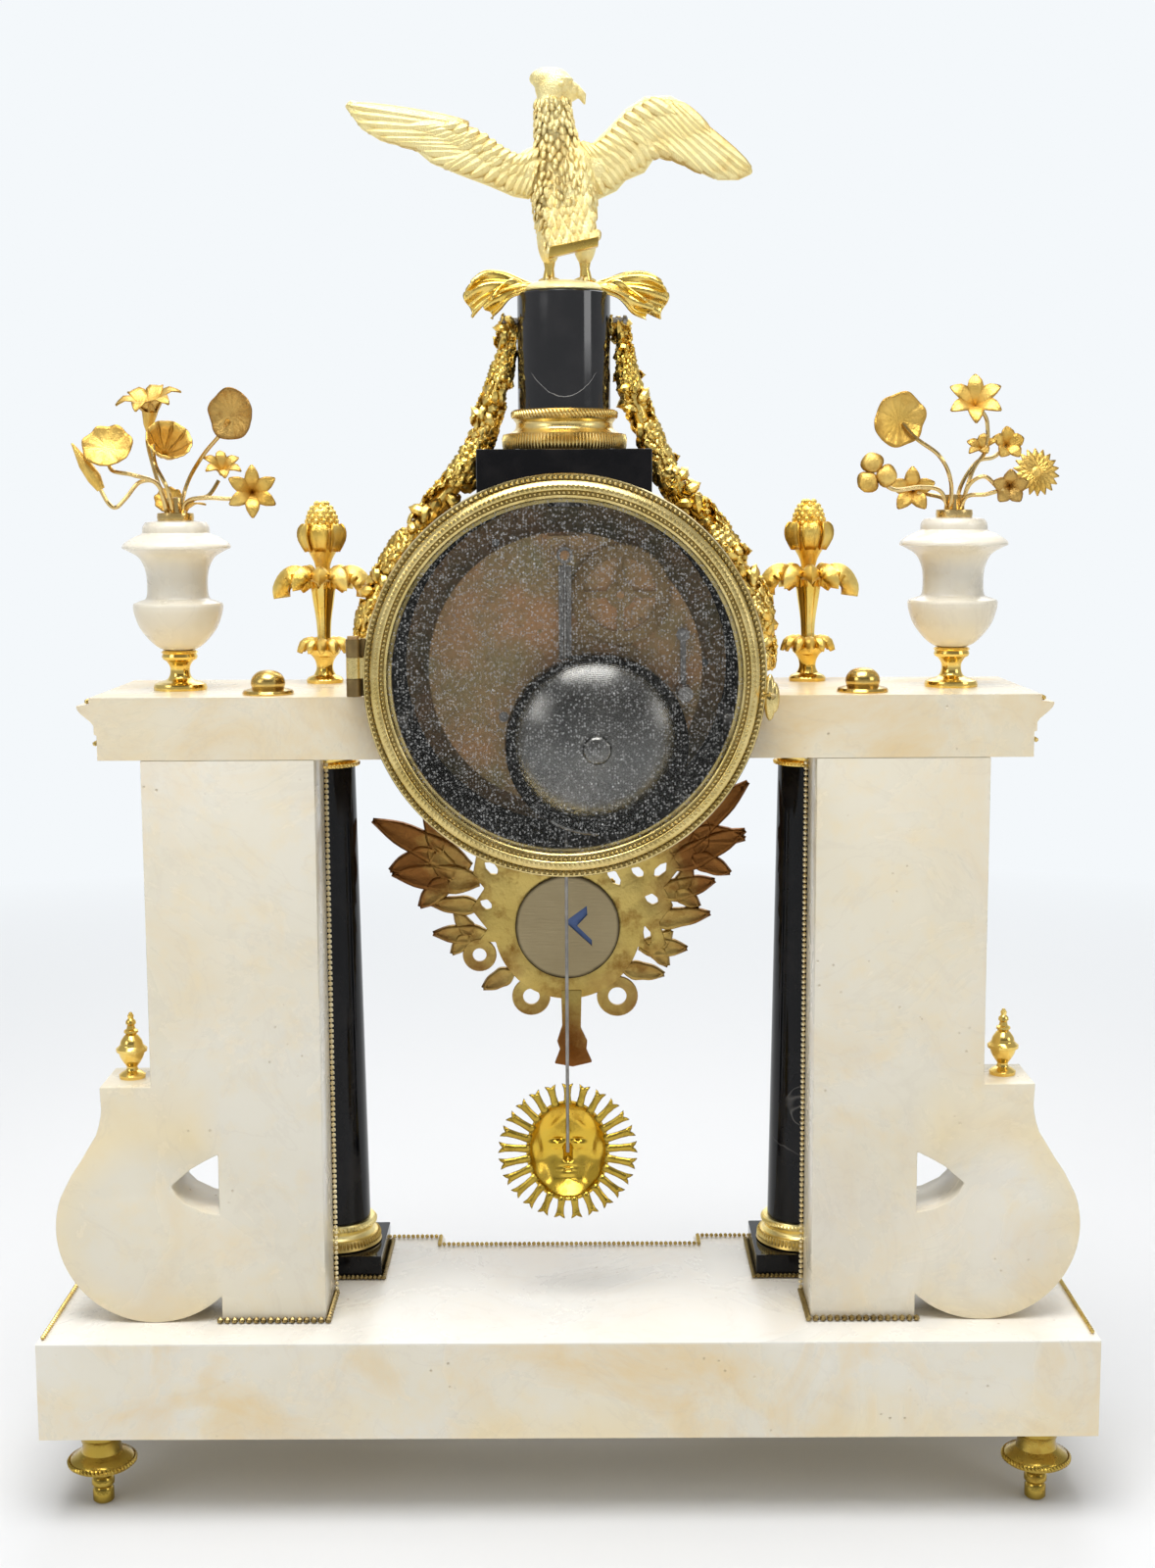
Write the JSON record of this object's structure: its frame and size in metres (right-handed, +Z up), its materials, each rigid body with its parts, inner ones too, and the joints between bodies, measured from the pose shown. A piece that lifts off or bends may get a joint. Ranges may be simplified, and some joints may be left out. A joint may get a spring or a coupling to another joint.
{
  "type": "portico mantel clock",
  "caption": "Free-standing portico mantel clock: marble base, scroll pilasters and columns carry a glazed drum with striking works, a swinging sun pendulum, vases and an eagle.",
  "frame": {"origin": "on the surface the clock stands on, under the middle of its base", "axes": "+Z up, -Y towards the viewer of the dial, +X to that viewer's right"},
  "size_m": [0.42, 0.12, 0.572],
  "materials": {
    "marble": "polished white marble with grey and yellow veins",
    "black_marble": "polished black marble with thin white veins",
    "gilt_bronze": "fire gilt, burnished and matte",
    "raw_brass": "cast or rolled, aged",
    "steel": "blued and aged",
    "glass": "clear, dusty",
    "enamel": "white fired enamel",
    "blue_ceramic": "blue bisque with a light glaze",
    "bell_metal": "turned bell bronze"
  },
  "bodies": {
    "case": {"base_plinth": "marble", "feet": "gilt_bronze", "left_pilaster": "marble", "right_pilaster": "marble", "column_plinths": "black_marble", "column_bases": "gilt_bronze", "columns": "black_marble", "column_capitals": "gilt_bronze", "left_entablature": "marble", "right_entablature": "marble", "tie_rods": "steel", "dome_nuts": "gilt_bronze", "pinecone_finials": "gilt_bronze", "volute_finials": "gilt_bronze", "vases": "marble", "vase_socles": "gilt_bronze", "bouquets": "gilt_bronze", "drum_case": "raw_brass", "fasteners": "steel", "drum_pedestal": "black_marble", "pedestal_moulding": "gilt_bronze", "eagle_column": "black_marble", "eagle_drapery": "gilt_bronze", "eagle": "gilt_bronze", "garlands": "gilt_bronze", "swag_plaque": "raw_brass", "medallion": "blue_ceramic", "base_beading": "gilt_bronze", "pilaster_beading": "gilt_bronze", "entablature_beading": "gilt_bronze", "hinge_pins": "raw_brass", "dial": "enamel", "front_plate": "raw_brass", "back_plate": "raw_brass", "pillars": "raw_brass", "winding_arbors": "steel", "suspension_cock": "raw_brass", "bell": "bell_metal"},
    "pendulum": {"pendulum_rod": "steel", "pendulum_bob": "gilt_bronze"},
    "anchor": {"pallet_anchor": "steel"},
    "minute": {"centre_wheel": "raw_brass", "minute_hand": "raw_brass"},
    "hour": {"hour_wheel": "raw_brass", "hour_hand": "raw_brass"},
    "motion_wheel": {"minute_wheel": "raw_brass"},
    "intermediate": {"intermediate_wheel": "raw_brass"},
    "going_barrel": {"going_barrel": "raw_brass"},
    "third": {"third_wheel": "raw_brass"},
    "escape": {"escape_wheel": "raw_brass"},
    "strike": {"strike_wheel": "raw_brass"},
    "strike_barrel": {"strike_barrel": "raw_brass"},
    "pin_wheel": {"pin_wheel": "raw_brass"},
    "fly": {"fly": "raw_brass"},
    "count_wheel": {"count_wheel": "raw_brass"},
    "hammer": {"hammer": "steel"},
    "rear_door": {"rear_bezel": "gilt_bronze", "rear_glass": "glass"},
    "front_door": {"front_bezel": "gilt_bronze", "front_glass": "glass"}
  },
  "joints": [
    {"name": "pendulum_swing", "type": "hinge", "parent": "case", "child": "pendulum", "pos_m": [0, 0.0215, 0.382], "axis": [0, 1, 0], "range_deg": [-4, 4]},
    {"name": "anchor_rock", "type": "hinge", "parent": "case", "child": "anchor", "pos_m": [0, 0, 0.382], "axis": [0, 1, 0], "range_deg": [-4.2, 4.2]},
    {"name": "minute_turn", "type": "hinge", "parent": "case", "child": "minute", "pos_m": [0, -0.02, 0.336], "axis": [0, 1, 0], "continuous": true},
    {"name": "hour_turn", "type": "hinge", "parent": "case", "child": "hour", "pos_m": [0, -0.038, 0.336], "axis": [0, 1, 0], "continuous": true},
    {"name": "motion_turn", "type": "hinge", "parent": "case", "child": "motion_wheel", "pos_m": [0, -0.034, 0.3485], "axis": [0, 1, 0], "continuous": true},
    {"name": "intermediate_turn", "type": "hinge", "parent": "case", "child": "intermediate", "pos_m": [-0.0002, -0.01, 0.31675], "axis": [0, 1, 0], "continuous": true},
    {"name": "going_barrel_turn", "type": "hinge", "parent": "case", "child": "going_barrel", "pos_m": [0.025, -0.01, 0.317], "axis": [0, 1, 0], "continuous": true},
    {"name": "third_turn", "type": "hinge", "parent": "case", "child": "third", "pos_m": [0.01009, -0.01, 0.35148], "axis": [0, 1, 0], "continuous": true},
    {"name": "escape_turn", "type": "hinge", "parent": "case", "child": "escape", "pos_m": [0, -0.01, 0.366], "axis": [0, 1, 0], "continuous": true},
    {"name": "strike_turn", "type": "hinge", "parent": "case", "child": "strike", "pos_m": [-0.025, -0.01, 0.3422], "axis": [0, 1, 0], "continuous": true},
    {"name": "strike_barrel_turn", "type": "hinge", "parent": "case", "child": "strike_barrel", "pos_m": [-0.025, -0.01, 0.317], "axis": [0, 1, 0], "continuous": true},
    {"name": "pin_wheel_turn", "type": "hinge", "parent": "case", "child": "pin_wheel", "pos_m": [-0.03008, -0.01, 0.35615], "axis": [0, 1, 0], "continuous": true},
    {"name": "fly_turn", "type": "hinge", "parent": "case", "child": "fly", "pos_m": [-0.01989, -0.01, 0.36633], "axis": [0, 1, 0], "continuous": true},
    {"name": "count_turn", "type": "hinge", "parent": "case", "child": "count_wheel", "pos_m": [-0.02208, 0.01, 0.36602], "axis": [0, 1, 0], "continuous": true},
    {"name": "hammer_lift", "type": "hinge", "parent": "case", "child": "hammer", "pos_m": [-0.047, 0, 0.35], "axis": [0, 1, 0], "range_deg": [0, 10], "stiffness_Nm_per_rad": 0.01, "springref_deg": -5.73},
    {"name": "rear_door_swing", "type": "hinge", "parent": "case", "child": "rear_door", "pos_m": [0.081, 0.047, 0.34], "axis": [0, 0, -1], "range_deg": [0, 110]},
    {"name": "front_door_swing", "type": "hinge", "parent": "case", "child": "front_door", "pos_m": [-0.081, -0.05, 0.34], "axis": [0, 0, -1], "range_deg": [0, 110]}
  ],
  "couplings": [
    {"joint": "anchor_rock", "follows": "pendulum_swing", "ratio": 1},
    {"joint": "hour_turn", "follows": "minute_turn", "ratio": 0.083333},
    {"joint": "motion_turn", "follows": "minute_turn", "ratio": -0.33333},
    {"joint": "intermediate_turn", "follows": "minute_turn", "ratio": -0.16667},
    {"joint": "going_barrel_turn", "follows": "minute_turn", "ratio": 0.027778},
    {"joint": "third_turn", "follows": "minute_turn", "ratio": -10},
    {"joint": "escape_turn", "follows": "minute_turn", "ratio": 120},
    {"joint": "strike_barrel_turn", "follows": "strike_turn", "ratio": -0.16667},
    {"joint": "pin_wheel_turn", "follows": "strike_turn", "ratio": -6},
    {"joint": "fly_turn", "follows": "strike_turn", "ratio": 48},
    {"joint": "count_turn", "follows": "strike_turn", "ratio": -0.2}
  ]
}
